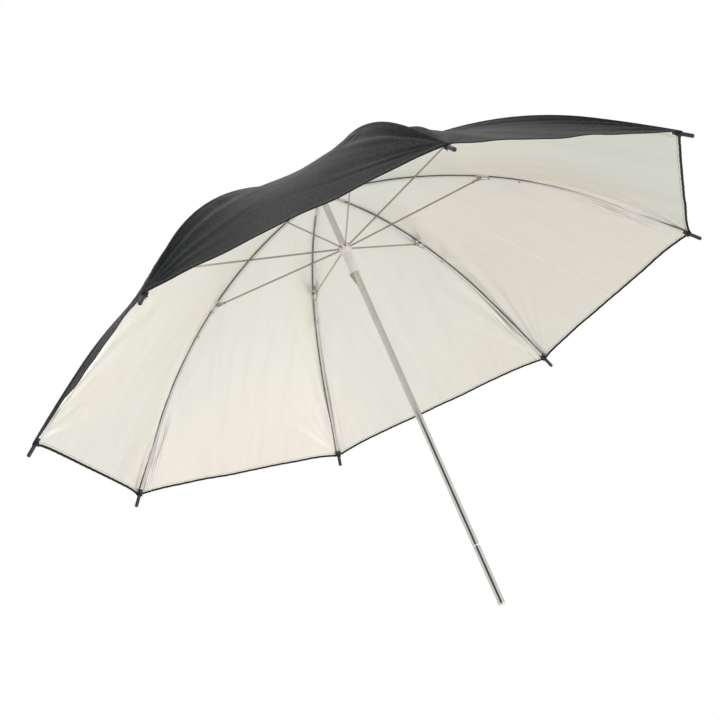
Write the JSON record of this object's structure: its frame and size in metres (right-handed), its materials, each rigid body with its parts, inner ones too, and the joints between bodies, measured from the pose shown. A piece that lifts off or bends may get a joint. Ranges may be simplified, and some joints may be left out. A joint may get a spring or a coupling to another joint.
{
  "type": "umbrella reflector",
  "caption": "Folding reflector umbrella: dark canopy with a silvery white inside, curved steel ribs and stretchers, sliding runner and a plain round shaft.",
  "frame": {"origin": "centre of the shaft's free end", "axes": "+Z along the shaft towards the top of the canopy, +X along the first rib and the catch"},
  "size_m": [0.863, 0.863, 0.5542],
  "materials": {
    "canopy_black": "fine twill, dark outside",
    "canopy_silver": "silvery white reflective inside",
    "canopy_thread": "hem, ties and stitching",
    "shaft_chrome": "bright plated tube",
    "rib_steel": "plated steel channel",
    "wire_steel": "galvanised wire",
    "spring_steel": "spring leaf",
    "black_plastic": "moulded, satin",
    "white_plastic": "moulded, white"
  },
  "bodies": {
    "shaft": {"shaft_tube": "shaft_chrome", "shaft_end_plug": "black_plastic", "notch": "white_plastic", "notch_wire": "wire_steel", "notch_pin": "wire_steel", "catch_pin": "wire_steel", "canopy_washer": "wire_steel", "top_cap": "black_plastic"},
    "rib_1": {"rib_1": "rib_steel", "rib_tip_1": "black_plastic", "rib_rivet_1": "rib_steel"},
    "rib_2": {"rib_2": "rib_steel", "rib_tip_2": "black_plastic", "rib_rivet_2": "rib_steel"},
    "rib_3": {"rib_3": "rib_steel", "rib_tip_3": "black_plastic", "rib_rivet_3": "rib_steel"},
    "rib_4": {"rib_4": "rib_steel", "rib_tip_4": "black_plastic", "rib_rivet_4": "rib_steel"},
    "rib_5": {"rib_5": "rib_steel", "rib_tip_5": "black_plastic", "rib_rivet_5": "rib_steel"},
    "rib_6": {"rib_6": "rib_steel", "rib_tip_6": "black_plastic", "rib_rivet_6": "rib_steel"},
    "rib_7": {"rib_7": "rib_steel", "rib_tip_7": "black_plastic", "rib_rivet_7": "rib_steel"},
    "rib_8": {"rib_8": "rib_steel", "rib_tip_8": "black_plastic", "rib_rivet_8": "rib_steel"},
    "stretcher_1": {"stretcher_1": "rib_steel"},
    "stretcher_2": {"stretcher_2": "rib_steel"},
    "stretcher_3": {"stretcher_3": "rib_steel"},
    "stretcher_4": {"stretcher_4": "rib_steel"},
    "stretcher_5": {"stretcher_5": "rib_steel"},
    "stretcher_6": {"stretcher_6": "rib_steel"},
    "stretcher_7": {"stretcher_7": "rib_steel"},
    "stretcher_8": {"stretcher_8": "rib_steel"},
    "runner": {"runner": "white_plastic", "runner_wire": "wire_steel"},
    "gore_1": {"canopy_panel_1": "canopy_black"},
    "gore_2": {"canopy_panel_2": "canopy_black"},
    "gore_3": {"canopy_panel_3": "canopy_black"},
    "gore_4": {"canopy_panel_4": "canopy_black"},
    "gore_5": {"canopy_panel_5": "canopy_black"},
    "gore_6": {"canopy_panel_6": "canopy_black"},
    "gore_7": {"canopy_panel_7": "canopy_black"},
    "gore_8": {"canopy_panel_8": "canopy_black"},
    "catch": {"spring_catch": "spring_steel"}
  },
  "joints": [
    {"name": "rib_1_fold", "type": "hinge", "parent": "shaft", "child": "rib_1", "pos_m": [0.0062, 0, 0.538], "axis": [0, 1, 0], "range_deg": [0, 63.5], "deforming": ["canopy_panel_1", "canopy_panel_2", "canopy_panel_3", "canopy_panel_4", "canopy_panel_5", "canopy_panel_6", "canopy_panel_7", "canopy_panel_8", "spring_catch"]},
    {"name": "rib_2_fold", "type": "hinge", "parent": "shaft", "child": "rib_2", "pos_m": [0.00438, 0.00438, 0.538], "axis": [-0.7071, 0.7071, 0], "range_deg": [0, 63.5]},
    {"name": "rib_3_fold", "type": "hinge", "parent": "shaft", "child": "rib_3", "pos_m": [0, 0.0062, 0.538], "axis": [-1, 0, 0], "range_deg": [0, 63.5]},
    {"name": "rib_4_fold", "type": "hinge", "parent": "shaft", "child": "rib_4", "pos_m": [-0.00438, 0.00438, 0.538], "axis": [-0.7071, -0.7071, 0], "range_deg": [0, 63.5]},
    {"name": "rib_5_fold", "type": "hinge", "parent": "shaft", "child": "rib_5", "pos_m": [-0.0062, 0, 0.538], "axis": [0, -1, 0], "range_deg": [0, 63.5]},
    {"name": "rib_6_fold", "type": "hinge", "parent": "shaft", "child": "rib_6", "pos_m": [-0.00438, -0.00438, 0.538], "axis": [0.7071, -0.7071, 0], "range_deg": [0, 63.5]},
    {"name": "rib_7_fold", "type": "hinge", "parent": "shaft", "child": "rib_7", "pos_m": [0, -0.0062, 0.538], "axis": [1, 0, 0], "range_deg": [0, 63.5]},
    {"name": "rib_8_fold", "type": "hinge", "parent": "shaft", "child": "rib_8", "pos_m": [0.00438, -0.00438, 0.538], "axis": [0.7071, 0.7071, 0], "range_deg": [0, 63.5]},
    {"name": "stretcher_1_swing", "type": "hinge", "parent": "rib_1", "child": "stretcher_1", "pos_m": [0.2, 0, 0.501], "axis": [0, 1, 0], "range_deg": [-127, 0]},
    {"name": "stretcher_2_swing", "type": "hinge", "parent": "rib_2", "child": "stretcher_2", "pos_m": [0.14142, 0.14142, 0.501], "axis": [-0.7071, 0.7071, 0], "range_deg": [-127, 0]},
    {"name": "stretcher_3_swing", "type": "hinge", "parent": "rib_3", "child": "stretcher_3", "pos_m": [0, 0.2, 0.501], "axis": [-1, 0, 0], "range_deg": [-127, 0]},
    {"name": "stretcher_4_swing", "type": "hinge", "parent": "rib_4", "child": "stretcher_4", "pos_m": [-0.14142, 0.14142, 0.501], "axis": [-0.7071, -0.7071, 0], "range_deg": [-127, 0]},
    {"name": "stretcher_5_swing", "type": "hinge", "parent": "rib_5", "child": "stretcher_5", "pos_m": [-0.2, 0, 0.501], "axis": [0, -1, 0], "range_deg": [-127, 0]},
    {"name": "stretcher_6_swing", "type": "hinge", "parent": "rib_6", "child": "stretcher_6", "pos_m": [-0.14142, -0.14142, 0.501], "axis": [0.7071, -0.7071, 0], "range_deg": [-127, 0]},
    {"name": "stretcher_7_swing", "type": "hinge", "parent": "rib_7", "child": "stretcher_7", "pos_m": [0, -0.2, 0.501], "axis": [1, 0, 0], "range_deg": [-127, 0]},
    {"name": "stretcher_8_swing", "type": "hinge", "parent": "rib_8", "child": "stretcher_8", "pos_m": [0.14142, -0.14142, 0.501], "axis": [0.7071, 0.7071, 0], "range_deg": [-127, 0]},
    {"name": "runner_travel", "type": "hinge", "parent": "stretcher_1", "child": "runner", "pos_m": [0.0062, 0, 0.464], "axis": [0, 1, 0], "range_deg": [0, 63.5]},
    {"name": "gore_1_fold", "type": "hinge", "parent": "shaft", "child": "gore_1", "pos_m": [0.00573, 0.00237, 0.538], "axis": [-0.3827, 0.9239, 0], "range_deg": [0, 63.5]},
    {"name": "gore_2_fold", "type": "hinge", "parent": "shaft", "child": "gore_2", "pos_m": [0.00237, 0.00573, 0.538], "axis": [-0.9239, 0.3827, 0], "range_deg": [0, 63.5]},
    {"name": "gore_3_fold", "type": "hinge", "parent": "shaft", "child": "gore_3", "pos_m": [-0.00237, 0.00573, 0.538], "axis": [-0.9239, -0.3827, 0], "range_deg": [0, 63.5]},
    {"name": "gore_4_fold", "type": "hinge", "parent": "shaft", "child": "gore_4", "pos_m": [-0.00573, 0.00237, 0.538], "axis": [-0.3827, -0.9239, 0], "range_deg": [0, 63.5]},
    {"name": "gore_5_fold", "type": "hinge", "parent": "shaft", "child": "gore_5", "pos_m": [-0.00573, -0.00237, 0.538], "axis": [0.3827, -0.9239, 0], "range_deg": [0, 63.5]},
    {"name": "gore_6_fold", "type": "hinge", "parent": "shaft", "child": "gore_6", "pos_m": [-0.00237, -0.00573, 0.538], "axis": [0.9239, -0.3827, 0], "range_deg": [0, 63.5]},
    {"name": "gore_7_fold", "type": "hinge", "parent": "shaft", "child": "gore_7", "pos_m": [0.00237, -0.00573, 0.538], "axis": [0.9239, 0.3827, 0], "range_deg": [0, 63.5]},
    {"name": "gore_8_fold", "type": "hinge", "parent": "shaft", "child": "gore_8", "pos_m": [0.00573, -0.00237, 0.538], "axis": [0.3827, 0.9239, 0], "range_deg": [0, 63.5]},
    {"name": "catch_press", "type": "hinge", "parent": "shaft", "child": "catch", "pos_m": [0, 0, 0.404], "axis": [0, -1, 0], "range_deg": [0, 9], "stiffness_Nm_per_rad": 0.02, "springref_deg": -1.15}
  ],
  "couplings": [
    {"joint": "rib_2_fold", "follows": "rib_1_fold", "ratio": 1},
    {"joint": "rib_3_fold", "follows": "rib_1_fold", "ratio": 1},
    {"joint": "rib_4_fold", "follows": "rib_1_fold", "ratio": 1},
    {"joint": "rib_5_fold", "follows": "rib_1_fold", "ratio": 1},
    {"joint": "rib_6_fold", "follows": "rib_1_fold", "ratio": 1},
    {"joint": "rib_7_fold", "follows": "rib_1_fold", "ratio": 1},
    {"joint": "rib_8_fold", "follows": "rib_1_fold", "ratio": 1},
    {"joint": "stretcher_1_swing", "follows": "rib_1_fold", "ratio": -2},
    {"joint": "stretcher_2_swing", "follows": "rib_1_fold", "ratio": -2},
    {"joint": "stretcher_3_swing", "follows": "rib_1_fold", "ratio": -2},
    {"joint": "stretcher_4_swing", "follows": "rib_1_fold", "ratio": -2},
    {"joint": "stretcher_5_swing", "follows": "rib_1_fold", "ratio": -2},
    {"joint": "stretcher_6_swing", "follows": "rib_1_fold", "ratio": -2},
    {"joint": "stretcher_7_swing", "follows": "rib_1_fold", "ratio": -2},
    {"joint": "stretcher_8_swing", "follows": "rib_1_fold", "ratio": -2},
    {"joint": "runner_travel", "follows": "rib_1_fold", "ratio": 1},
    {"joint": "gore_1_fold", "follows": "rib_1_fold", "ratio": 1},
    {"joint": "gore_2_fold", "follows": "rib_1_fold", "ratio": 1},
    {"joint": "gore_3_fold", "follows": "rib_1_fold", "ratio": 1},
    {"joint": "gore_4_fold", "follows": "rib_1_fold", "ratio": 1},
    {"joint": "gore_5_fold", "follows": "rib_1_fold", "ratio": 1},
    {"joint": "gore_6_fold", "follows": "rib_1_fold", "ratio": 1},
    {"joint": "gore_7_fold", "follows": "rib_1_fold", "ratio": 1},
    {"joint": "gore_8_fold", "follows": "rib_1_fold", "ratio": 1}
  ]
}
